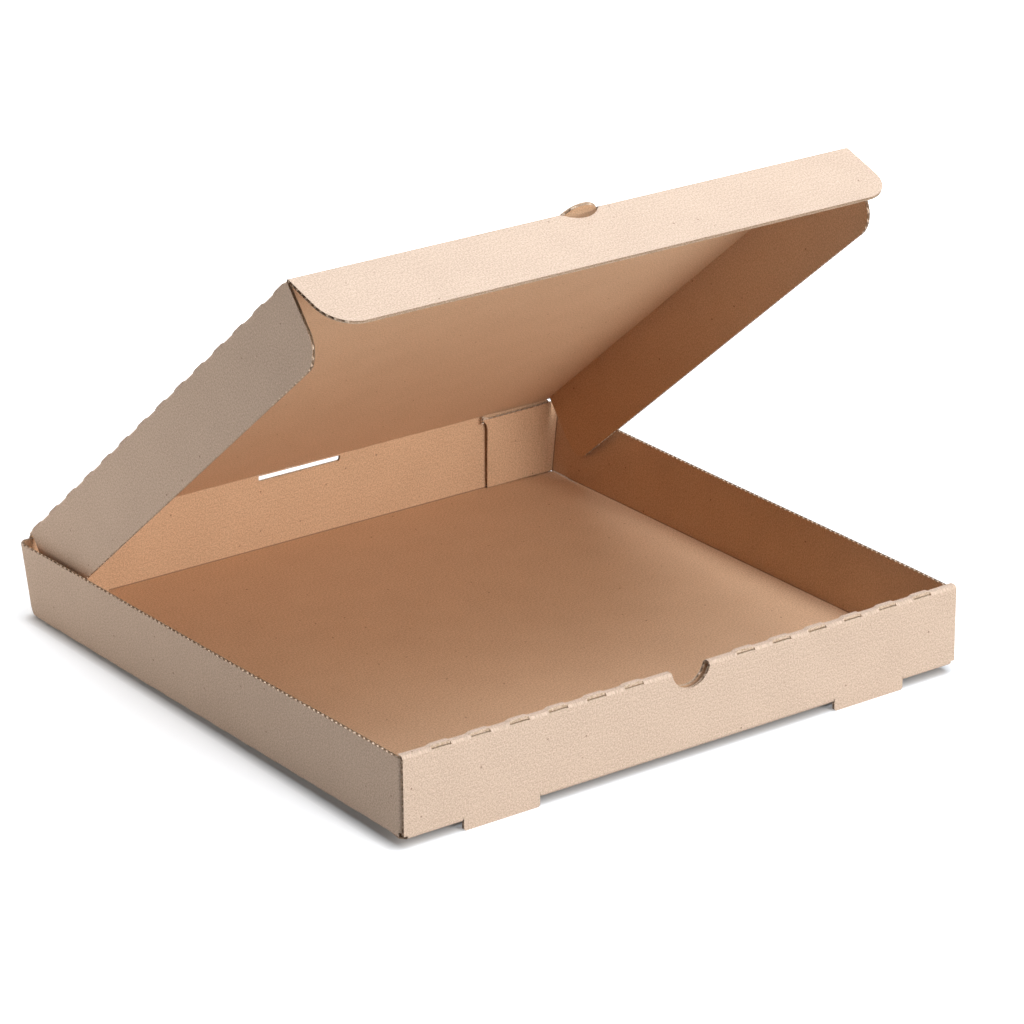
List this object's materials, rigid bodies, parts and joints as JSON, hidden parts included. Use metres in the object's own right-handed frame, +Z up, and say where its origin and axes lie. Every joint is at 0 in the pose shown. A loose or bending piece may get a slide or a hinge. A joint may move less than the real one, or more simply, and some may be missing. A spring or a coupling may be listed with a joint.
{
  "type": "pizza box",
  "caption": "Square shallow box folded from corrugated card, with a hinged lid, tuck-in lid flaps, a rolled front wall with a thumb notch and low front feet; it holds a pizza.",
  "frame": {"origin": "on the table, under the middle of the tray", "axes": "+X to the right, +Y from the front wall with the thumb notch to the hinge, +Z up"},
  "size_m": [0.3386, 0.3307, 0.2502],
  "materials": {
    "kraft_card": "matt uncoated brown kraft paper"
  },
  "bodies": {
    "tray": {"tray": "kraft_card"},
    "lid": {"lid": "kraft_card"},
    "lid_front_flap": {"lid_front_flap": "kraft_card"},
    "lid_left_flap": {"lid_left_flap": "kraft_card"},
    "lid_right_flap": {"lid_right_flap": "kraft_card"}
  },
  "joints": [
    {"name": "lid_hinge", "type": "hinge", "parent": "tray", "child": "lid", "pos_m": [0, 0.16476, 0.04311], "axis": [-1, 0, 0], "range_deg": [-39.5, 75.5]},
    {"name": "front_flap_fold", "type": "hinge", "parent": "lid", "child": "lid_front_flap", "pos_m": [0, -0.07494, 0.24625], "axis": [1, 0, 0], "range_deg": [-58, 30.5]},
    {"name": "left_flap_fold", "type": "hinge", "parent": "lid", "child": "lid_left_flap", "pos_m": [-0.1613, 0.04409, 0.14433], "axis": [0, -0.7629, 0.6465], "range_deg": [0, 85]},
    {"name": "right_flap_fold", "type": "hinge", "parent": "lid", "child": "lid_right_flap", "pos_m": [0.1613, 0.04409, 0.14433], "axis": [0, 0.7629, -0.6465], "range_deg": [0, 85]}
  ],
  "couplings": [
    {"joint": "front_flap_fold", "follows": "lid_hinge", "ratio": -0.7595}
  ]
}
